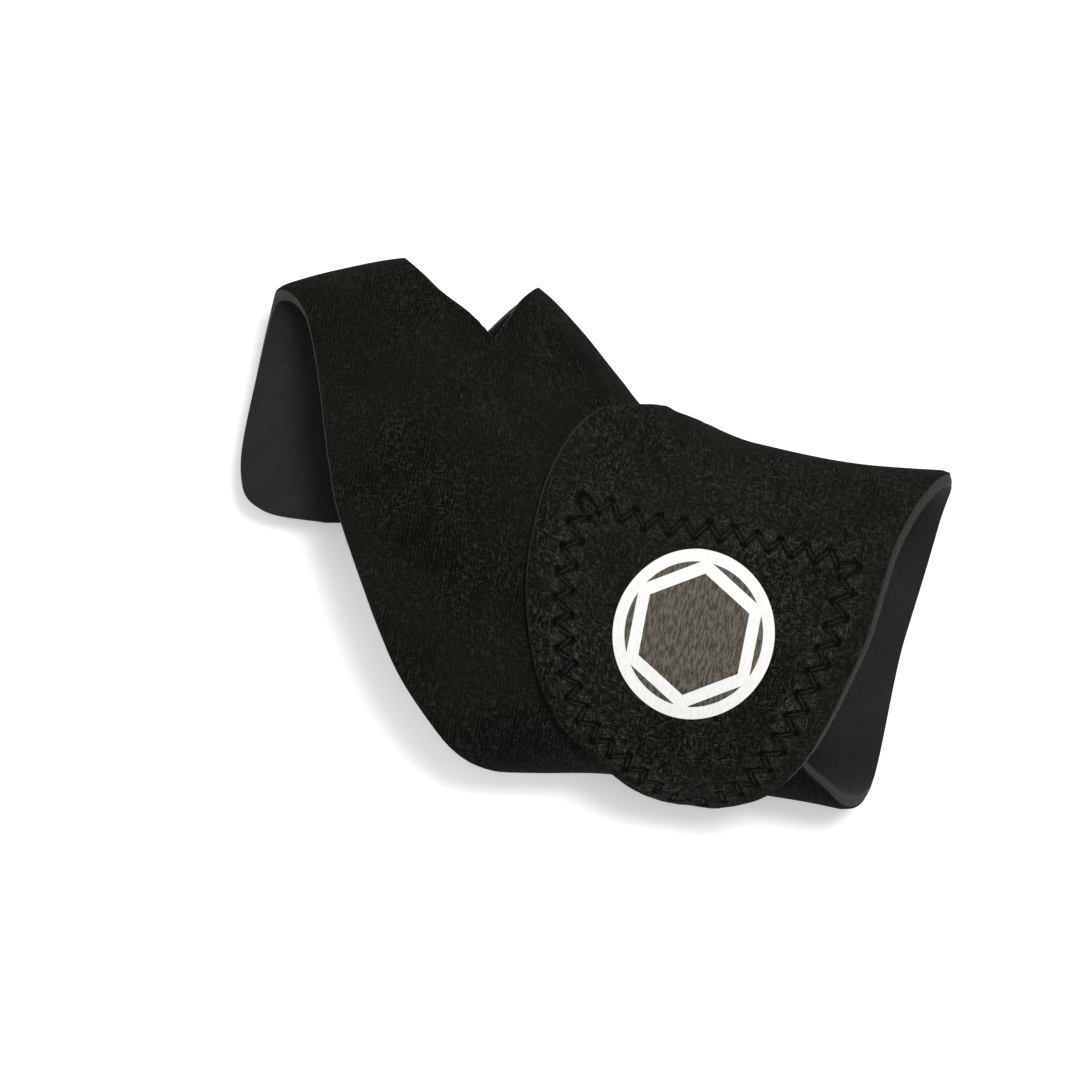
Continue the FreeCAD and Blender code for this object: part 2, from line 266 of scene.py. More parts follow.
def stitch_map(s, x):
    """Where points lie in the zigzag: cosine and sine of its phase, and the distance across it."""
    found = np.tile([1.0, 0.0, 99.0], (len(s), 1))
    near = s > arc(SEAM_ANGLE)
    here = np.stack([s, x], 1)[near]
    tangent = np.roll(SEAM_FLAT, -1, 0) - np.roll(SEAM_FLAT, 1, 0)
    tangent /= np.linalg.norm(tangent, axis=1, keepdims=True)
    # The first needle hole shows which side of the line counts as positive
    first = NEEDLE_HOLES[0] - SEAM_FLAT[0]
    way = np.sign(tangent[0, 0] * first[1] - tangent[0, 1] * first[0])
    turns = len(seam_line(STITCH_PITCH)) / 2
    closest, _ = closest_of(here, SEAM_FLAT)
    away, t = here - SEAM_FLAT[closest], tangent[closest]
    along = (t * away).sum(1) / SEAM_STEP
    phase = 2 * math.pi * turns * (closest + along) / len(SEAM_FLAT)
    gap = way * (t[:, 0] * away[:, 1] - t[:, 1] * away[:, 0])
    found[near] = np.stack([np.cos(phase), np.sin(phase), gap], 1)
    return found


# Slow waves of fabric that was pulled round by hand: direction, wavelength, phase and height each
rng = np.random.default_rng(11)
WAVES = list(zip(rng.uniform(0, math.pi, 9), rng.uniform(11, 34, 9),
                 rng.uniform(0, 2 * math.pi, 9), rng.uniform(0.02, 0.06, 9)))
# Short creases: x, arc length, heading, length, depth
CREASES = []


def add_crease(x, y, angle, heading, length, depth):
    """A crease near (x, y) in plan, found on the strap close to an angle."""
    tries = np.linspace(angle - 30, angle + 30, 241)
    best = tries[np.argmin(np.abs(on_strap(tries, x, THICK)[:, 1] - y))]
    CREASES.append((x, float(arc(best)), math.radians(heading), length, depth))


# On the back of the hand, where the panel turns towards the thumb
add_crease(-54.5, 25.5, 50, 78, 5.0, 0.55)
add_crease(-50.5, 28.5, 47, 70, 3.6, 0.4)
add_crease(-58.0, 21.5, 55, 88, 4.2, 0.28)
# At the wrist, where the palm strap turns up into the tongue
add_crease(-2.0, 27.0, 380, 20, 9.0, 0.3)
add_crease(6.0, 25.5, 384, 8, 11.0, 0.22)


def creased(s, x):
    """The waves and creases of the whole strap, as a height."""
    height = np.zeros_like(x)
    for heading, length, phase, amount in WAVES:
        way = s * math.cos(heading) + x * math.sin(heading)
        height += amount * np.sin(way * 2 * math.pi / length + phase)
    for cx, cs, heading, length, depth in CREASES:
        u = (s - cs) * math.cos(heading) + (x - cx) * math.sin(heading)
        v = -(s - cs) * math.sin(heading) + (x - cx) * math.cos(heading)
        bowed = v - 0.05 * u * u
        banks, valley = 0.55 * bell(np.abs(bowed) - 1.7, 0.9), bell(bowed, 0.8)
        height += depth * bell(u, length) * (banks - valley)
    return height


def sewn(angle, s, x):
    """What the seam does to the tongue: padding inside it, a well along it, puckers beside it."""
    here = np.stack([s, x], 1)
    closest, gap = closest_of(here, SEAM_FLAT)
    place = closest * SEAM_STEP
    # Inside the seam the hook tape pads the tongue out
    padded = ease((x - far_edge(angle) - 8) / 4) * ease((near_edge(angle) - 8 - x) / 4)
    padded = padded * ease((angle - HOOK_START - 3) / 8) * ease((HOOK_END - 4 - angle) / 8)
    # The thread was pulled tighter in some places than in others
    drawn = 0.75 + 0.25 * np.sin(place * 2 * math.pi / 9.1 + 1.7 * np.sin(place * 2 * math.pi / 31))
    well = -0.16 * drawn * bell(gap, 1.7)
    bank = 0.16 * drawn * bell(gap - 3.3, 1.0)
    pucker = 0.1 * drawn * np.sin(place * 2 * math.pi / (2 * STITCH_PITCH) + gap) * bell(gap - 3.0, 1.6)
    # Each needle hole pulls a dimple into the pile
    hole = closest_of(here, NEEDLE_HOLES)[1]
    dimple = -0.42 * drawn * bell(hole, 0.62) + 0.14 * bell(hole - 1.25, 0.4)
    return well + bank + pucker + dimple + 0.12 * padded


def relief(angle, x):
    """How far the laminate's outer face stands over or under its smooth shape."""
    s = arc(angle)
    height = creased(s, x)
    near = angle > SEAM_ANGLE
    if near.any():
        height[near] += sewn(angle[near], s[near], x[near])
    return height


def bevel(angle, x_part):
    """How far the cut edges slope in over the whole thickness: on the far side, the near side."""
    on_tongue = ease((angle - 360) / 30)
    far = 0.25 + 0.2 * on_tongue
    near = 0.3 + 1.0 * on_tongue
    return far + (near - far) * x_part


def laid(angle, part, height):
    """Strap angle, share of the width and height, to a point with the fabric's relief, and its x."""
    slope = height / THICK
    left = far_edge(angle) + bevel(angle, 0.0) * slope
    right = near_edge(angle) - bevel(angle, 1.0) * slope
    x = left + (right - left) * part
    edge = np.minimum(x - left, right - x)
    rise = relief(angle, x) - 0.4 * bell(edge, 0.75)
    return on_strap(angle, x, height + rise * slope), x


# ---------------------------------------------------------------- mesh making

def grid_faces(columns, rows):
    """The four-sided faces of a grid of points, given column by column."""
    c, r = np.meshgrid(np.arange(columns - 1), np.arange(rows - 1), indexing="ij")
    a = (c * rows + r).ravel()
    return np.stack([a, a + rows, a + rows + 1, a + 1], 1)


def store(mesh, name, values):
    """Keeps a value or a vector for each point, for the materials to read."""
    values = np.asarray(values, np.float32)
    kind, field = ("FLOAT", "value") if values.ndim == 1 else ("FLOAT_VECTOR", "vector")
    mesh.attributes.new(name, kind, "POINT").data.foreach_set(field, values.ravel())


def add_object(name, points, faces, weave=None):
    """A mesh object from millimetre points. weave is each point's place in the cloth, in millimetres."""
    mesh = bpy.data.meshes.new(name)
    mesh.from_pydata((np.asarray(points) / 1000).tolist(), [], [list(map(int, f)) for f in faces])
    mesh.validate()
    if weave is not None:
        store(mesh, "weave", weave)
    mesh.shade_smooth()
    mesh.set_sharp_from_angle(angle=math.radians(38))
    obj = bpy.data.objects.new(name, mesh)
    bpy.context.scene.collection.objects.link(obj)
    return obj


def edges_of(faces):
    return np.concatenate([faces[:, [k, (k + 1) % 4]] for k in range(4)])


def closed_shell(top, bottom, faces, weave_top, weave_bottom, rings=0, bulge=0.0):
    """Points, faces and weave of the closed form between two faces with the same mesh.

    rings is the number of rows of points on its edge, which stand out by the bulge.
    """
    used = np.unique(faces)
    index = np.full(len(top), -1)
    index[used] = np.arange(len(used))
    faces = index[faces]
    top, bottom = top[used], bottom[used]
    weave_top, weave_bottom = weave_top[used], weave_bottom[used]
    n = len(used)
    edges = edges_of(faces)
    _, where, counts = np.unique(np.sort(edges, 1), axis=0, return_index=True, return_counts=True)
    rim = edges[where[counts == 1]]
    around = np.unique(rim)
    order = np.full(n, -1)
    order[around] = np.arange(len(around))
    out = np.zeros((n, 3))
    side = np.cross(top[rim[:, 1]] - top[rim[:, 0]], top[rim[:, 0]] - bottom[rim[:, 0]])
    side /= np.linalg.norm(side, axis=1, keepdims=True) + 1e-12
    np.add.at(out, rim[:, 0], side)
    np.add.at(out, rim[:, 1], side)
    out = out[around]
    out /= np.linalg.norm(out, axis=1, keepdims=True) + 1e-12
    points, weave = [top, bottom], [weave_top, weave_bottom]
    levels = [around]
    for k in range(rings):
        t = (k + 1) / (rings + 1)
        points.append(top[around] * (1 - t) + bottom[around] * t + out * bulge * math.sin(math.pi * t) ** 0.7)
        weave.append(weave_top[around] * (1 - t) + weave_bottom[around] * t)
        levels.append(2 * n + k * len(around) + np.arange(len(around)))
    levels.append(n + around)
    walls = []
    for upper, lower in zip(levels, levels[1:]):
        a, b = order[rim[:, 0]], order[rim[:, 1]]
        walls.append(np.stack([upper[b], upper[a], lower[a], lower[b]], 1))
    all_faces = np.concatenate([faces, faces[:, ::-1] + n] + walls)
    return np.concatenate(points), all_faces, np.concatenate(weave)


def fold(joint, facing):
    """A hinge's middle in millimetres, and the direction across it that leads along the strap.

    facing is the angle round the arm that the cloth faces at the hinge.
    """
    hinge = next(j for j in frame["joints"] if j["name"] == joint)
    axis = np.array(hinge["axis"], float)
    up = np.array([0, math.cos(math.radians(facing)), math.sin(math.radians(facing))])
    across = np.cross(-axis / np.linalg.norm(axis), up)
    return np.array(hinge["pos_m"], float) * 1000, across / np.linalg.norm(across)


FLAP_MIDDLE, FLAP_ACROSS = fold("flap_open", 62.0)
# How far before and after the flap's fold the visual strap is divided, in the still cloth
SPLITS = (-9.5, 10.0)


def split_angles(side, part):
    """The strap angle, at each share of the width, of the plane side millimetres past the flap's fold."""
    low, high = np.full_like(part, 355.0), np.full_like(part, 439.0)
    for _ in range(40):
        mid = (low + high) / 2
        x = far_edge(mid) + part * (near_edge(mid) - far_edge(mid))
        reach = (on_strap(mid, x, THICK) - FLAP_MIDDLE) @ FLAP_ACROSS
        low, high = np.where(reach > side, low, mid), np.where(reach > side, mid, high)
    return low


PARTS = np.linspace(0, 1, ROWS)
FIRST_SPLIT, SECOND_SPLIT = (split_angles(side, PARTS) for side in SPLITS)


def columns_between(first, last, spacing, power):
    """Strap angles of a grid, from one split to the next, about spacing millimetres apart."""
    length = float(np.max(np.abs(arc(last) - arc(first))))
    count = max(6, int(length / spacing)) + 1
    t = np.linspace(0, 1, count)[:, None]
    if power != 1.0:  # closer together towards the end
        t = 1 - (1 - t) ** power
    return first[None] + (last - first)[None] * t


def thumb_hole_outline():
    """The thumb hole's outline in (x, z from the axis): a drop, pulled towards the back of the hand."""
    corners = np.array([(-31, 14.4), (-29, 10.5), (-26.8, 2), (-28, -7), (-34, -13), (-42.5, -12.5),
                        (-49, -5), (-49, 3.5), (-43.5, 9.5), (-36, 12.6), (-32.2, 14.2)], float)
    points = []
    for i in range(len(corners)):
        a, b, c, d = (corners[(i + k) % len(corners)] for k in (-1, 0, 1, 2))
        for t in np.linspace(0, 1, 16, endpoint=False):  # a smooth curve through all the corners
            points.append(0.5 * (2 * b + (c - a) * t + (2 * a - 5 * b + 4 * c - d) * t * t
                                 + (3 * b - a - 3 * c + d) * t ** 3))
    return np.array(points)


def grown(outline, amount):
    """A closed outline moved out by amount millimetres."""
    along = np.roll(outline, -1, 0) - np.roll(outline, 1, 0)
    normal = np.stack([along[:, 1], -along[:, 0]], 1)
    normal /= np.linalg.norm(normal, axis=1, keepdims=True)
    area = np.sum(outline[:, 0] * np.roll(outline[:, 1], -1) - np.roll(outline[:, 0], -1) * outline[:, 1])
    return outline + normal * amount * np.sign(area)


def inside(outline, x, z):
    """Whether each (x, z) is inside a closed outline."""
    within = np.zeros(np.shape(x), bool)
    for (xa, za), (xb, zb) in zip(outline, np.roll(outline, -1, 0)):
        crosses = (za > z) != (zb > z)
        with np.errstate(divide="ignore", invalid="ignore"):
            at = xa + (z - za) / (zb - za) * (xb - xa)
        within ^= crosses & (x < at)
    return within


def angle_on_thumb_side(x, z):
    """The strap angle on the thumb's side where the middle of the laminate has this x and z."""
    angle = np.zeros_like(x)
    for _ in range(14):
        here = on_strap(angle, x, THICK / 2)[..., 2]
        slope = (on_strap(angle + NUDGE, x, THICK / 2)[..., 2] - here) / NUDGE
        angle = angle - np.clip((here - AXIS_Z - z) / slope, -6, 6)
    return angle


def with_thumb_hole(angles, parts, faces, grow):
    """A strap grid with the thumb hole cut out: its edge points moved onto the hole's outline.

    grow is how far this face's hole lies outside the outline. The grid near it is evened out.
    """
    angles, parts = angles.copy(), parts.copy()
    outline = grown(thumb_hole_outline(), grow)
    x = far_edge(angles) + parts * (near_edge(angles) - far_edge(angles))
    spots = on_strap(angles, x, THICK / 2)
    z = spots[..., 2] - AXIS_Z
    zone = (spots[..., 1] > 12) & (angles < 90)
    centre_x, centre_z = x.ravel()[faces].mean(1), z.ravel()[faces].mean(1)
    gone = inside(outline, centre_x, centre_z) & zone.ravel()[faces].all(1)
    kept = faces[~gone]
    rim = np.intersect1d(np.unique(faces[gone]), np.unique(kept))
    flat_x, flat_z = x.ravel().copy(), z.ravel().copy()
    fine = np.concatenate([outline + (np.roll(outline, -1, 0) - outline) * t for t in (0, 0.25, 0.5, 0.75)])
    nearest = np.argmin((flat_x[rim, None] - fine[None, :, 0]) ** 2
                        + (flat_z[rim, None] - fine[None, :, 1]) ** 2, 1)
    flat_x[rim], flat_z[rim] = fine[nearest, 0], fine[nearest, 1]
    gap_squared = np.min((flat_x[:, None] - outline[None, ::4, 0]) ** 2
                         + (flat_z[:, None] - outline[None, ::4, 1]) ** 2, 1)
    close = np.nonzero((gap_squared < 3.5 ** 2) & zone.ravel())[0]
    loose = np.setdiff1d(np.intersect1d(close, np.unique(kept)), rim)
    edges = edges_of(kept)
    edges = np.concatenate([edges, edges[:, ::-1]])
    edges = edges[np.isin(edges[:, 0], loose)]
    for _ in range(14):
        total = np.zeros((len(flat_x), 3))
        np.add.at(total, edges[:, 0], np.stack([flat_x[edges[:, 1]], flat_z[edges[:, 1]],
                                                np.ones(len(edges))], 1))
        for flat, column in ((flat_x, 0), (flat_z, 1)):
            flat[loose] = 0.5 * flat[loose] + 0.5 * total[loose, column] / total[loose, 2]
    moved = np.concatenate([rim, loose])
    a = angle_on_thumb_side(flat_x[moved], flat_z[moved])
    angles.ravel()[moved] = a
    parts.ravel()[moved] = (flat_x[moved] - far_edge(a)) / (near_edge(a) - far_edge(a))
    return angles, parts, kept


# Each layer's two faces over the inner face, the rows on its cut edge and how far they bulge, and
# how far its lower and upper face stop outside the thumb hole's outline
LAYERS = {
    "outer_fabric": dict(low=THICK - FABRIC, high=THICK, rings=0, bulge=0.0, hole=(0.45, 0.5)),
    "foam_core": dict(low=LINING + GLUE, high=THICK - FABRIC - GLUE, rings=3, bulge=0.16, hole=(0.1, 0.4)),
    "lining": dict(low=0.0, high=LINING, rings=0, bulge=0.0, hole=(0.0, 0.05)),
}


def rounded_end(part):
    """The strap angle where each row of the tongue stops, so that its two sides meet in an arc."""
    back = np.array([0.0, 4.0])
    angle = np.interp(arc(END) - back, ARCS, ARC_ANGLES)
    half = (near_edge(angle) - far_edge(angle)) / 2
    slope = (half[1] - half[0]) / back[1]
    tilt = math.atan(slope)
    centre = TONGUE_END_R / math.sin(tilt) - half[0] / slope
    swing = np.linspace(-1, 1, 201) * (math.pi / 2 - tilt)
    aside, behind = TONGUE_END_R * np.sin(swing), centre - TONGUE_END_R * np.cos(swing)
    share = 0.5 + aside / (half[0] + slope * behind) / 2
    return np.interp(arc(END) - np.interp(part, share, behind), ARCS, ARC_ANGLES)


# Each stretch's first and last strap angles, its spacing, and how it closes up towards the end
STRETCHES = {
    "wrap": (np.full(ROWS, START), FIRST_SPLIT, 0.85, 1.0),
    "bend": (FIRST_SPLIT, SECOND_SPLIT, 0.55, 1.0),
    "tongue": (SECOND_SPLIT, rounded_end(PARTS), 0.5, 1.25),
}


def strap_piece(stretch, layer):
    """One layer of one stretch of the strap, as a closed form with rounded, sloping cut edges."""
    spec = LAYERS[layer]
    angles = columns_between(*STRETCHES[stretch])
    parts = np.broadcast_to(PARTS, angles.shape).copy()
    faces = grid_faces(*angles.shape)
    made = []
    for height, grow in ((spec["high"], spec["hole"][1]), (spec["low"], spec["hole"][0])):
        a, p, kept = angles, parts, faces
        if stretch == "wrap":
            a, p, kept = with_thumb_hole(angles, parts, faces, grow)
        points, x = laid(a, p, np.full_like(a, height))
        weave = np.stack([arc(a), x, np.full_like(x, height)], -1)
        made.append((points.reshape(-1, 3), weave.reshape(-1, 3), kept))
    (top, weave_top, kept), (bottom, weave_bottom, _) = made
    points, all_faces, weave = closed_shell(top, bottom, kept, weave_top, weave_bottom,
                                            spec["rings"], spec["bulge"])
    obj = add_object(f"{stretch}_{layer}", points, all_faces, weave)
    if layer == "outer_fabric":
        angle = np.interp(weave[:, 0], ARCS, ARC_ANGLES)
        # How far the face is sunk, in creases and stitch dimples; the fabric darkens these places as pile
        # pressed down and painted shade
        store(obj.data, "sunk", np.clip(-relief(angle, weave[:, 1]) / 0.4 - 0.1, 0, 1))
        store(obj.data, "stitch", stitch_map(weave[:, 0], weave[:, 1]))
    return obj


# ---------------------------------------------------------------- materials

class Nodes:
    """A small builder of shader nodes. A plain value goes in a socket, and a socket is linked to it."""

    def __init__(self, name):
        self.material = bpy.data.materials.new(name)
        self.material.use_nodes = True
        self.tree = self.material.node_tree
        self.tree.nodes.clear()

    def add(self, kind, inputs=None, out=0, **settings):
        node = self.tree.nodes.new(kind)
        for key, value in settings.items():
            setattr(node, key, value)
        for key, value in (inputs or {}).items():
            socket = node.inputs[key]
            if isinstance(value, bpy.types.NodeSocket):
                self.tree.links.new(value, socket)
            else:
                socket.default_value = value
        return node.outputs[out] if len(node.outputs) else node

    def math(self, operation, *values, clamp=False):
        """One sum: the operation's name in Blender, and its values or sockets."""
        return self.add("ShaderNodeMath", dict(enumerate(values)), operation=operation, use_clamp=clamp)

    def wave(self, value, pitch):
        """A sine wave of the value, with this pitch."""
        return self.math("SINE", self.math("MULTIPLY", value, 2 * math.pi / pitch))

    def mix(self, share, a, b):
        """Colours a to b by share."""
        return self.add("ShaderNodeMix", {0: share, 6: a, 7: b}, out=2, data_type="RGBA")

    def spread(self, value, low, high, to_low=0.0, to_high=1.0):
        """The value spread from low and high to to_low and to_high, and held at both ends."""
        return self.add("ShaderNodeMapRange", {0: value, 1: low, 2: high, 3: to_low, 4: to_high})

    def noise(self, vector, scale, detail=3.0, roughness=0.55, distortion=0.0):
        return self.add("ShaderNodeTexNoise", {"Vector": vector, "Scale": scale, "Detail": detail,
                                               "Roughness": roughness, "Distortion": distortion})

    def stretched(self, vector, scale, turn=0.0):
        """The vector scaled by a different amount each way, and turned."""
        return self.add("ShaderNodeMapping", {"Vector": vector, "Scale": scale, "Rotation": (0, 0, turn)})

    def attribute(self, name, out):
        """What the mesh keeps under this name: its vector with out=1, its value with out=2."""
        return self.add("ShaderNodeAttribute", out=out, attribute_name=name)

    def split(self, vector):
        """A vector's three parts."""
        node = self.tree.nodes.new("ShaderNodeSeparateXYZ")
        self.tree.links.new(vector, node.inputs[0])
        return tuple(node.outputs)

    def finish(self, colour, roughness, bumps, specular=0.3, sheen=0.0, sheen_roughness=0.5,
               tint=(1, 1, 1, 1), glow=0.0):
        """Ends the material. bumps are (height socket, distance in metres, strength)."""
        normal = None
        for height, distance, strength in bumps:
            given = {"Height": height, "Distance": distance, "Strength": strength}
            if normal is not None:
                given["Normal"] = normal
            normal = self.add("ShaderNodeBump", given)
        given = {"Base Color": colour, "Roughness": roughness, "Specular IOR Level": specular,
                 "Sheen Weight": sheen, "Sheen Roughness": sheen_roughness, "Sheen Tint": tint,
                 "Emission Color": (1, 1, 1, 1), "Emission Strength": glow}
        if normal is not None:
            given["Normal"] = normal
        shader = self.add("ShaderNodeBsdfPrincipled", given)
        self.add("ShaderNodeOutputMaterial", {"Surface": shader})
        return self.material


def cloth_axes(n):
    """The cloth's own coordinates: the vector, along the strap, and across it, in millimetres."""
    weave = n.attribute("weave", 1)
    along, across, _ = n.split(weave)
    return weave, along, across


def knit_ribs(n, weave, across):
    """The ribs of the outer knit, which wander a little."""
    return n.wave(n.math("MULTIPLY_ADD", n.noise(weave, 0.35, 2.0), 1.3, across), RIB_PITCH)


def loop_fabric():
    """Brushed loop knit: fine ribs along the strap, under a short fuzz whose light strokes are painted
    highlight.
    """
    n = Nodes("brushed_loop_knit")
    weave, along, across = cloth_axes(n)
    ribs = knit_ribs(n, weave, across)
    bowed = n.math("MULTIPLY", ribs, 0.9)
    rows = n.math("SINE", n.math("MULTIPLY_ADD", along, 2 * math.pi / ROW_PITCH, bowed))
    knit = n.math("MULTIPLY_ADD", rows, 0.45, ribs)
    # Fibres lie in patches, along the strap in some and across it in others, with curled ones over them
    lengthwise, crosswise, curled = (
        n.spread(n.noise(n.stretched(weave, scale, turn), 1.0, 2.0, 0.5, curl), 0.5, 0.7)
        for scale, turn, curl in (((0.85, 2.3, 1.0), 0.25, 0.3), ((2.3, 0.85, 1.0), 0.2, 0.3),
                                  ((1.5, 1.7, 1.0), -0.7, 1.2)))
    which = n.spread(n.noise(weave, 0.3, 2.0), 0.44, 0.56)
    lying = n.math("ADD", n.math("MULTIPLY", lengthwise, which),
                   n.math("MULTIPLY", crosswise, n.math("SUBTRACT", 1.0, which)))
    fuzz = n.math("MAXIMUM", lying, n.math("MULTIPLY", curled, 0.8))
    patches = n.spread(n.noise(weave, 0.085, 3.0, 0.6), 0.36, 0.66, 0.45, 1.1)
    # Partly pile pressed down, partly painted shade: the fibres are dimmed where the face is sunk.
    pressed_and_shaded = n.spread(n.attribute("sunk", 2), 0.0, 1.0, 1.0, 0.12)
    pulled_and_shaded, bank = stitched_pile(n)
    # The hand panel is worn smooth, the tongue still has its brushed pile
    brushed = n.spread(along, float(arc(372.0)), float(arc(392.0)))
    patches = n.math("MULTIPLY", patches, n.spread(brushed, 0.0, 1.0, 0.5, 1.0))
    amount = n.math("MULTIPLY", n.math("MULTIPLY", fuzz, patches), pressed_and_shaded)
    # Painted shade and highlight: the fibres dim where the zigzag pulls the pile down and brighten on the
    # banks between.
    amount = n.math("MULTIPLY", n.math("MULTIPLY", amount, n.math("SUBTRACT", 1.0, pulled_and_shaded)),
                    n.math("MULTIPLY_ADD", bank, 1.1, 1.0))
    fibres_and_highlight = n.math("MULTIPLY_ADD", knit, n.spread(brushed, 0.0, 1.0, 0.06, 0.035), amount)
    # Painted highlight on the banks beside the stitches.
    fibres_and_highlight = n.math("MULTIPLY_ADD", bank, 0.10, fibres_and_highlight, clamp=True)
    # Painted highlight: the fuzz's light fibre strokes stand in for the sheen the fibres catch, painted into
    # the colour.
    colour = n.mix(fibres_and_highlight, (0.0030, 0.0034, 0.0025, 1), (0.053, 0.057, 0.045, 1))
    warm = n.spread(n.noise(weave, 0.03, 2.0), 0.42, 0.62, 0.0, 0.4)
    colour = n.mix(warm, colour, (0.0145, 0.0115, 0.0085, 1))
    # Painted shade in the stitch grooves and needle holes, partly pile pulled down.
    colour = n.mix(n.math("MULTIPLY", pulled_and_shaded, 0.8), colour, (0.0022, 0.0023, 0.0019, 1))
    rough = n.spread(fuzz, 0.0, 1.0, 0.9, 1.0)
    puckers = n.math("SUBTRACT", n.math("MULTIPLY", bank, 0.6), pulled_and_shaded)
    return n.finish(colour, rough, [(knit, 0.0001, 0.6), (amount, 0.0003, 0.9), (puckers, 0.0006, 0.8)],
                    specular=0.02, sheen=0.003, sheen_roughness=0.5, tint=(0.85, 0.9, 0.82, 1))


def stitched_pile(n):
    """How far the zigzag pulls the pile down, and how far it swells up in the angles between. The fabric
    darkens the first as pulled-down pile and painted shade, and lightens the second as painted highlight.
    """
    cosine, sine, gap = n.split(n.attribute("stitch", 1))
    phase = n.math("ABSOLUTE", n.math("ARCTAN2", sine, cosine))
    # From 1 at a needle hole on one side to -1 at the next, on the other
    swing = n.math("MULTIPLY_ADD", phase, -2 / math.pi, 1.0)
    slope = math.hypot(1.0, 2 * STITCH_HALF / STITCH_PITCH)
    wander = n.spread(n.noise(cloth_axes(n)[0], 1.1, 2.0), 0.0, 1.0, -0.5, 0.5)
    apart = n.math("SUBTRACT", gap, n.math("MULTIPLY_ADD", swing, STITCH_HALF, wander))
    line = n.math("MULTIPLY", n.math("ABSOLUTE", apart), 1 / slope)
    beyond = n.math("SUBTRACT", n.math("ABSOLUTE", gap), STITCH_HALF)
    aside = n.math("MULTIPLY_ADD", n.math("SIGN", swing), -STITCH_HALF, gap)
    before = n.math("MULTIPLY", n.math("SUBTRACT", 1.0, n.math("ABSOLUTE", swing)), STITCH_PITCH / 2)
    hole = n.math("SQRT", n.math("MULTIPLY_ADD", aside, aside, n.math("MULTIPLY", before, before)))
    groove = n.spread(line, 0.12, 0.65, 0.6, 0.0)
    pulled_and_shaded = n.math("MAXIMUM", groove, n.spread(hole, 0.3, 1.0, 0.9, 0.0))
    within = n.spread(beyond, 0.3, 1.7, 1.0, 0.0)
    pulled_and_shaded = n.math("MULTIPLY", pulled_and_shaded, within)
    bank = n.math("MULTIPLY", n.spread(line, 0.45, 0.95), within)
    return pulled_and_shaded, bank


def lining_fabric():
    """Smooth jersey against the skin: clean fine ribs, a little shine."""
    n = Nodes("lining_jersey")
    weave, along, across = cloth_axes(n)
    ribs = n.math("ABSOLUTE", n.wave(across, 1.0))
    slant = n.math("MULTIPLY_ADD", ribs, 1.8, n.math("MULTIPLY", along, 2 * math.pi / 0.42))
    loops = n.math("SINE", slant)
    knit = n.math("MULTIPLY_ADD", loops, 0.35, ribs)
    wear = n.noise(weave, 0.12, 4.0, 0.6)
    colour = n.mix(n.spread(knit, -0.2, 1.2), (0.0056, 0.0060, 0.0055, 1), (0.0190, 0.0200, 0.0185, 1))
    colour = n.mix(n.spread(wear, 0.5, 0.75, 0.0, 0.3), colour, (0.03, 0.03, 0.029, 1))
    rough = n.spread(n.noise(weave, 0.8, 3.0), 0.3, 0.7, 0.62, 0.8)
    return n.finish(colour, rough, [(knit, 0.00008, 0.7)], specular=0.15, sheen=0.02, sheen_roughness=0.4)


def foam_rubber():
    """Sponge rubber at the cut edges: closed cells, some cut open, dusty grey-green black."""
    n = Nodes("sponge_rubber")
    weave = n.attribute("weave", 1)
    cells = n.add("ShaderNodeTexVoronoi", {"Vector": weave, "Scale": 3.2, "Randomness": 1.0})
    fine = n.add("ShaderNodeTexVoronoi", {"Vector": weave, "Scale": 7.5, "Randomness": 1.0})
    grain = n.noise(weave, 1.6, 4.0, 0.65)
    pits = n.math("MULTIPLY_ADD", fine, 0.5, cells)
    # Painted shade: the cells' hollows are coloured darker.
    colour = n.mix(n.spread(pits, 0.15, 0.75), (0.0115, 0.013, 0.010, 1), (0.029, 0.032, 0.026, 1))
    colour = n.mix(n.spread(grain, 0.4, 0.7, 0.0, 0.5), colour, (0.027, 0.0265, 0.021, 1))
    return n.finish(colour, n.spread(grain, 0.3, 0.7, 0.7, 0.92),
                    [(pits, 0.00012, 0.8), (grain, 0.0001, 0.4)], specular=0.15)


def hook_tape():
    """The hook tape's woven nylon ground."""
    n = Nodes("hook_tape_ground")
    weave, along, across = cloth_axes(n)
    plain = n.math("MULTIPLY", n.wave(along, 0.9), n.wave(across, 0.6))
    colour = n.mix(n.spread(plain, -1.0, 1.0), (0.010, 0.010, 0.011, 1), (0.036, 0.036, 0.038, 1))
    colour = n.mix(n.spread(n.noise(weave, 0.25, 3.0), 0.45, 0.75, 0, 0.4), colour, (0.035, 0.034, 0.033, 1))
    return n.finish(colour, n.spread(plain, -1.0, 1.0, 0.45, 0.65), [(plain, 0.0001, 0.8)], specular=0.45)


def hook_nylon():
    """Stiff moulded nylon hooks, slightly glossy, duller where lint has caught."""
    n = Nodes("hook_nylon")
    place = n.add("ShaderNodeTexCoord", out=3)
    lint = n.noise(place, 420.0, 4.0, 0.65)
    streak = n.noise(n.stretched(place, (900, 900, 4000)), 1.0, 2.0)
    colour = n.mix(n.spread(lint, 0.45, 0.75), (0.014, 0.014, 0.015, 1), (0.075, 0.073, 0.068, 1))
    return n.finish(colour, n.spread(lint, 0.3, 0.7, 0.28, 0.55), [(streak, 0.00003, 0.5)], specular=0.5)


def sewing_thread():
    """Bonded nylon thread: twisted plies seen as slanting bands, a slight shine."""
    n = Nodes("sewing_thread")
    weave, along, across = cloth_axes(n)
    ply = n.math("SINE", n.math("MULTIPLY_ADD", along, 2 * math.pi / 0.55, across))
    fray = n.noise(weave, 4.0, 3.0)
    colour = n.mix(n.spread(ply, -1.0, 1.0), (0.0065, 0.0065, 0.0057, 1), (0.018, 0.018, 0.015, 1))
    colour = n.mix(n.spread(fray, 0.55, 0.75, 0, 0.5), colour, (0.030, 0.030, 0.026, 1))
    return n.finish(colour, n.spread(fray, 0.3, 0.7, 0.6, 0.8), [(ply, 0.00005, 0.8)], specular=0.12)


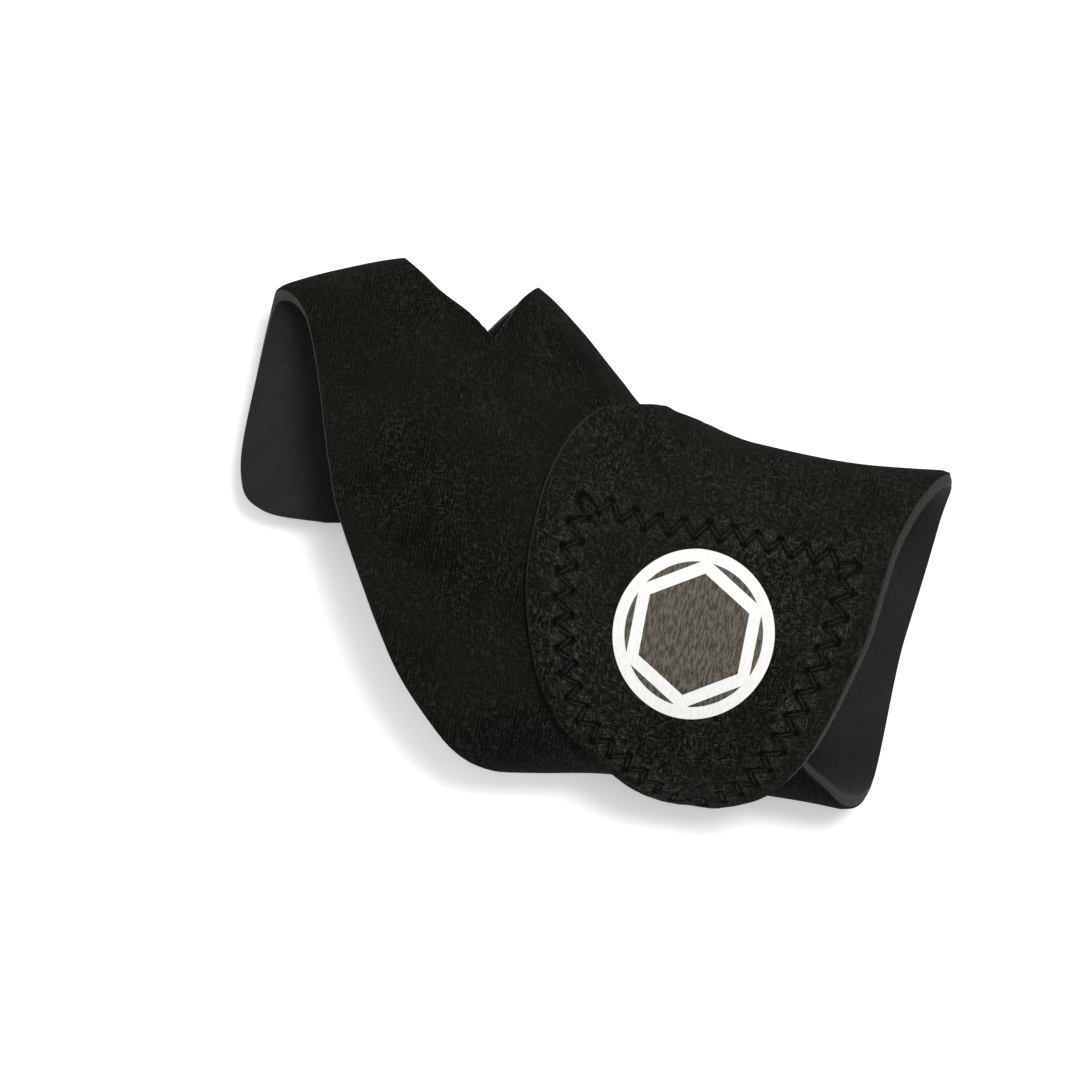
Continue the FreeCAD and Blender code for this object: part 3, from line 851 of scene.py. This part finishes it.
def printed_ink(name, light, dark, worn, rough, cover):
    """Rubbery print that follows the ribs of the knit, worn through in specks over the cover level."""
    n = Nodes(name)
    weave, _, across = cloth_axes(n)
    ribs = knit_ribs(n, weave, across)
    streaks = n.noise(n.stretched(weave, (0.55, 2.3, 1.0)), 1.0, 4.0, 0.7)
    specks = n.noise(weave, 2.2, 4.0, 0.7)
    colour = n.mix(n.spread(streaks, 0.44, 0.56), dark, light)
    colour = n.mix(n.spread(specks, cover, cover + 0.12, 0.0, 0.65), colour, worn)
    height = n.math("MULTIPLY_ADD", streaks, 0.8, n.math("MULTIPLY", ribs, 0.35))
    return n.finish(colour, n.spread(streaks, 0.3, 0.7, rough, rough + 0.15), [(height, 0.00007, 0.55)],
                    specular=0.35)


MATERIALS = {
    "outer_fabric": loop_fabric(),
    "foam_core": foam_rubber(),
    "lining": lining_fabric(),
    "hook_base": hook_tape(),
    "hooks": hook_nylon(),
    "thread": sewing_thread(),
    "ground": printed_ink("dark_print", (0.112, 0.102, 0.082, 1), (0.030, 0.027, 0.021, 1),
                          (0.018, 0.016, 0.013, 1), 0.7, 0.56),
    "white": printed_ink("white_print", (0.80, 0.805, 0.775, 1), (0.72, 0.725, 0.70, 1),
                         (0.58, 0.58, 0.55, 1), 0.6, 0.62),
}


def dress(obj, material):
    """Gives an object its material."""
    obj.data.materials.append(MATERIALS[material])
    return obj


# ---------------------------------------------------------------- the strap's pieces: the wrap attached to its body, the rest baked in place


def bend_at_flap(obj):
    """Bakes the piece's placement into its mesh; it does not bend where the tongue swings open."""
    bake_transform(obj)


def bend_at_tip(obj):
    """Bakes the piece's placement into its mesh; it does not bend where the tongue's end peels up."""
    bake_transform(obj)


MOVES = {"wrap": lambda obj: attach(obj, "wrap"), "bend": bend_at_flap, "tongue": bend_at_tip}
STANDS_FOR = {"wrap": ("thumb_tab", "hand_panel", "palm_strap"), "bend": ("palm_strap", "flap"),
              "tongue": ("flap", "flap_tip")}

for stretch in STRETCHES:
    for layer in LAYERS:
        piece = dress(strap_piece(stretch, layer), layer)
        MOVES[stretch](piece)
        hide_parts(*[f"{zone}_{layer}" for zone in STANDS_FOR[stretch]])


# ---------------------------------------------------------------- hook tape

# Between rows of hooks, between the hooks of a row, and from the tape's edge to the first
HOOK_ROW, HOOK_GAP, HOOK_MARGIN = 1.5, 1.6, 1.1
# A hook's outline: sideways and down from its foot, and its radius at each point
HOOK_SHAPE = [(0, 0), (0.0, 0.2), (0.05, 0.36), (0.2, 0.45), (0.38, 0.41), (0.46, 0.29)]
HOOK_RADII = [0.16, 0.12, 0.11, 0.1, 0.09, 0.06]


def hook_ground():
    """The woven ground of the hook tape, a thin closed sheet under the tongue."""
    angles = np.linspace(HOOK_START, HOOK_END, 110)[:, None]
    parts = np.linspace(0, 1, 72)[None]
    angles, parts = np.broadcast_arrays(angles, parts)
    left, right = far_edge(angles) + HOOK_INSET, near_edge(angles) - HOOK_INSET
    x = left + (right - left) * parts
    faces = grid_faces(*angles.shape)
    sides = []
    for height in (-GLUE, -GLUE - HOOK_BASE):
        points = on_strap(angles, x, np.full(angles.shape, height))
        weave = np.stack([arc(angles), x, np.full(angles.shape, height)], -1)
        sides.append((points.reshape(-1, 3), weave.reshape(-1, 3)))
    (top, weave_top), (bottom, weave_bottom) = sides
    return add_object("hook_tape_base", *closed_shell(top, bottom, faces, weave_top, weave_bottom, 1, 0.05))


def tubes(name, lines, radii, sides):
    """Many short round rods as one mesh. lines is (rod, point, xyz), radii is one for each point."""
    count, steps = lines.shape[:2]
    along = np.gradient(lines, axis=1)
    along /= np.linalg.norm(along, axis=2, keepdims=True) + 1e-12
    helper = np.array([0.23, 0.41, 0.88])
    first = np.cross(along, helper)
    first /= np.linalg.norm(first, axis=2, keepdims=True)
    second = np.cross(along, first)
    turn = np.arange(sides) * 2 * math.pi / sides
    ring = (first[:, :, None] * np.cos(turn)[None, None, :, None]
            + second[:, :, None] * np.sin(turn)[None, None, :, None]) * np.asarray(radii)[None, :, None, None]
    points = (lines[:, :, None] + ring).reshape(-1, 3)
    faces = []
    k = np.arange(sides)
    for rod in range(count):
        base = rod * steps * sides
        for step in range(steps - 1):
            a = base + step * sides
            faces.extend(zip(a + k, a + (k + 1) % sides, a + sides + (k + 1) % sides, a + sides + k))
        faces.append(tuple(base + k[::-1]))
        faces.append(tuple(base + (steps - 1) * sides + k))
    walked = np.cumsum(np.linalg.norm(np.diff(lines, axis=1), axis=2), 1)
    walked = np.concatenate([np.zeros((count, 1)), walked], 1)
    # Each rod starts at its own place in the material's pattern
    place = np.stack(np.broadcast_arrays(walked[:, :, None] + np.arange(count)[:, None, None] * 3.7,
                                         turn[None, None], 0.0), -1)
    return add_object(name, points, faces, place.reshape(-1, 3))


def hook_rows():
    """Moulded hooks in staggered rows on the tape, each a stem that bends over at its end."""
    rng = np.random.default_rng(5)
    spots = []
    margin = HOOK_INSET + STITCH_HALF
    for row in range(int((arc(HOOK_END) - arc(HOOK_START)) / HOOK_ROW) - 1):
        angle = float(np.interp(arc(HOOK_START) + 1.4 + row * HOOK_ROW, ARCS, ARC_ANGLES))
        far, near = float(far_edge(angle)), float(near_edge(angle))
        left, right = far + HOOK_INSET + HOOK_MARGIN, near - HOOK_INSET - HOOK_MARGIN
        for x in np.arange(left + HOOK_GAP / 2 * (row % 2), right, HOOK_GAP):
            near_stitch = min(abs(x - far - margin), abs(near - margin - x)) < HOOK_MARGIN
            if near_stitch or angle < HOOK_START + 5 or angle > HOOK_END - 4:
                continue
            spots.append((angle, x, 1 if row % 2 else -1))
    spots = np.array(spots)
    jitter = rng.normal(0, 0.07, (len(spots), 2))
    angle, x, way = spots[:, 0], spots[:, 1] + jitter[:, 0], spots[:, 2]
    foot = on_strap(angle, x, np.full(len(x), -GLUE - HOOK_BASE + 0.05))
    below = on_strap(angle, x, np.full(len(x), -GLUE - HOOK_BASE - 0.95))
    down = below - foot
    down /= np.linalg.norm(down, axis=1, keepdims=True)
    side = on_strap(angle + way * 0.8, x, np.full(len(x), -GLUE - HOOK_BASE)) - foot
    side -= np.sum(side * down, 1, keepdims=True) * down
    side /= np.linalg.norm(side, axis=1, keepdims=True)
    lines = np.stack([foot + side * u + down * v for u, v in HOOK_SHAPE], 1)
    return tubes("hook_field", lines, HOOK_RADII, 6)


ground = dress(hook_ground(), "hook_base")
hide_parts("flap_hook_base", "flap_tip_hook_base")
bend_at_tip(ground)
hooks = dress(hook_rows(), "hooks")
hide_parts("flap_hook_field", "flap_tip_hook_field")
bend_at_tip(hooks)


# ---------------------------------------------------------------- zigzag seam

def relief_height(angle, x, base):
    """Points a height over the fabric's uneven outer face."""
    return on_strap(angle, x, THICK + relief(angle, x) + base)


def zigzag(name, outside):
    """The zigzag stitches, on the fabric or on the hook tape underneath."""
    following = np.roll(NEEDLES, -1, 0)
    lines = []
    for t in (0.02, 0.1, 0.25, 0.5, 0.75, 0.9, 0.98):
        angle, x = (NEEDLES + (following - NEEDLES) * t).T
        # The thread dives into the cloth at both of its needle holes
        arch = min(1.0, 1.9 * math.sin(math.pi * t))
        if outside:
            lines.append(relief_height(angle, x, STITCH_DIVE * (arch - 1)))
        else:
            lines.append(on_strap(angle, x, -GLUE - HOOK_BASE + 0.22 - 0.34 * arch))
    return tubes(name, np.stack(lines, 1), [THREAD_R * 0.9] + [THREAD_R] * 5 + [THREAD_R * 0.9], 7)


for name, outside in (("seam_thread", True), ("seam_thread_under", False)):
    seam = dress(zigzag(name, outside), "thread")
    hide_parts("flap_seam_thread", "flap_tip_seam_thread")
    bend_at_tip(seam)


# ---------------------------------------------------------------- emblem

# The emblem's radii in plan, along the forearm and across it
EMBLEM_WIDE, EMBLEM_HIGH = 14.7, 15.5
HEXAGON_ANGLE = math.radians(60)


def tongue_spot(x, y):
    """The strap angle on the tongue under a point in plan."""
    low, high = np.full_like(x, 405.0), np.full_like(x, 520.0)
    for _ in range(40):
        mid = (low + high) / 2
        past = on_strap(mid, x, THICK)[..., 1] < y
        low, high = np.where(past, low, mid), np.where(past, mid, high)
    return low


def film(name, flat, low, high, material, node):
    """A printed film over the tongue, from a flat mesh in plan given in emblem radii."""
    plan, faces = flat
    x = EMBLEM_X + plan[:, 0] * EMBLEM_WIDE
    y = EMBLEM_Y + plan[:, 1] * EMBLEM_HIGH
    angle = tongue_spot(x, y)
    weave = np.stack([arc(angle), x, np.zeros_like(x)], -1)
    top, bottom = (relief_height(angle, x, h) for h in (high, low))
    obj = add_object(name, *closed_shell(top, bottom, facing_up(plan, faces), weave, weave))
    dress(obj, material)
    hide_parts(node)
    bend_at_tip(obj)


def disc_plan(radius):
    """A round flat mesh: a square grid whose rim is bent onto the circle."""
    side = np.linspace(-1, 1, 72)
    u, v = np.meshgrid(side, side, indexing="ij")
    x, y = u * np.sqrt(1 - v * v / 2), v * np.sqrt(1 - u * u / 2)
    return np.stack([x.ravel(), y.ravel()], 1) * radius, grid_faces(72, 72)


def band_plan(points_in, points_out, steps):
    """A closed band between two outlines with the same number of points."""
    count = len(points_in)
    t = np.linspace(0, 1, steps + 1)[:, None, None]
    plan = (points_in[None] * (1 - t) + points_out[None] * t).reshape(-1, 2)
    k = np.arange(count)
    faces = [np.stack([i * count + k, (i + 1) * count + k, (i + 1) * count + (k + 1) % count,
                       i * count + (k + 1) % count], 1) for i in range(steps)]
    return plan, np.concatenate(faces)


def facing_up(plan, faces):
    """The faces turned so that they are counterclockwise from above."""
    a, b, c = (plan[faces[:, k]] for k in (0, 1, 2))
    turn = (b[:, 0] - a[:, 0]) * (c[:, 1] - a[:, 1]) - (b[:, 1] - a[:, 1]) * (c[:, 0] - a[:, 0])
    return faces if turn.mean() > 0 else faces[:, ::-1]


def ring_plan():
    """The round line of the emblem."""
    return band_plan(circle * (1 - EMBLEM_STROKE / EMBLEM_R), circle, 4)


def hexagon_plan():
    """The hexagon's line, whose corners run a little way into the ring."""
    half_turn = HEXAGON_ANGLE / 2
    to_side = np.mod(turns - half_turn, HEXAGON_ANGLE) - half_turn
    hexagon = circle * (math.cos(half_turn) / np.cos(to_side))[:, None]
    reach = (EMBLEM_R - EMBLEM_STROKE + HEXAGON_BITE) / EMBLEM_R
    return band_plan(hexagon * (reach - HEXAGON_STROKE / EMBLEM_R), hexagon * reach, 5)


turns = np.linspace(0, 2 * math.pi, 288, endpoint=False)
circle = np.stack([np.cos(turns), np.sin(turns)], 1)
film("emblem_dark_ground", disc_plan(0.985), 0.02, 0.07, "ground", "emblem_ground")
film("emblem_white_ring", ring_plan(), 0.08, 0.15, "white", "emblem_lines")
film("emblem_white_hexagon", hexagon_plan(), 0.08, 0.17, "white", "emblem_lines")


# ---------------------------------------------------------------- studio

# Where the camera looks, in metres: the middle and the width of the view at this height, and its roll
VIEW_CENTRE = (-0.0158, 0.0035)
VIEW_WIDTH, VIEW_LEVEL = 0.1998, 0.036
ROLL = math.radians(11)


def floor():
    """A wide pale sheet just under the brace, glowing a little like a lit table."""
    side = np.linspace(-3000.0, 3000.0, 41)
    x, y = np.meshgrid(side, side, indexing="ij")
    points = np.stack([x, y, np.full_like(x, -0.02)], -1).reshape(-1, 3)
    obj = add_object("floor", points, grid_faces(41, 41))
    n = Nodes("studio_floor")
    place = n.add("ShaderNodeTexCoord", out=3)
    colour = n.mix(n.spread(n.noise(place, 3.0, 3.0), 0.3, 0.7), (0.93, 0.93, 0.93, 1), (0.95, 0.95, 0.95, 1))
    obj.data.materials.append(n.finish(colour, 0.85, [], specular=0.1, glow=0.3))


def area_light(name, place, target, size, power):
    """A round soft light at a place, pointed at the target."""
    light = bpy.data.lights.new(name, "AREA")
    light.shape = "DISK"
    light.size = size
    light.energy = power
    obj = bpy.data.objects.new(name, light)
    bpy.context.scene.collection.objects.link(obj)
    obj.location = place
    obj.rotation_mode = "QUATERNION"
    obj.rotation_quaternion = (Vector(target) - Vector(place)).to_track_quat("-Z", "Y")


def studio():
    """The floor, three lights from nearly overhead, and a dim white surround."""
    floor()
    centre = (-0.01, 0.0, 0.03)
    area_light("key", (0.16, 0.3, 1.45), centre, 0.3, 13.0)
    area_light("fill", (-0.9, 0.3, 1.0), centre, 1.0, 2.5)
    area_light("top", (0.06, 0.12, 1.5), centre, 0.6, 6.2)
    world = bpy.data.worlds.new("studio_world")
    world.use_nodes = True
    background = world.node_tree.nodes["Background"]
    background.inputs[0].default_value = (1, 1, 1, 1)
    background.inputs[1].default_value = 0.3
    bpy.context.scene.world = world
    bpy.context.scene.view_settings.view_transform = "Standard"


def camera():
    """Straight down on the back of the hand, turned so that the forearm points a little down."""
    data = bpy.data.cameras.new("camera")
    data.lens = 200
    data.sensor_width = 36
    data.clip_start, data.clip_end = 0.05, 10
    obj = bpy.data.objects.new("camera", data)
    bpy.context.scene.collection.objects.link(obj)
    height = VIEW_LEVEL + VIEW_WIDTH * data.lens / data.sensor_width
    c, s = math.cos(ROLL), math.sin(ROLL)
    obj.matrix_world = Matrix(((c, -s, 0, VIEW_CENTRE[0]), (s, c, 0, VIEW_CENTRE[1]),
                               (0, 0, 1, height), (0, 0, 0, 1)))
    bpy.context.scene.camera = obj


studio()
camera()
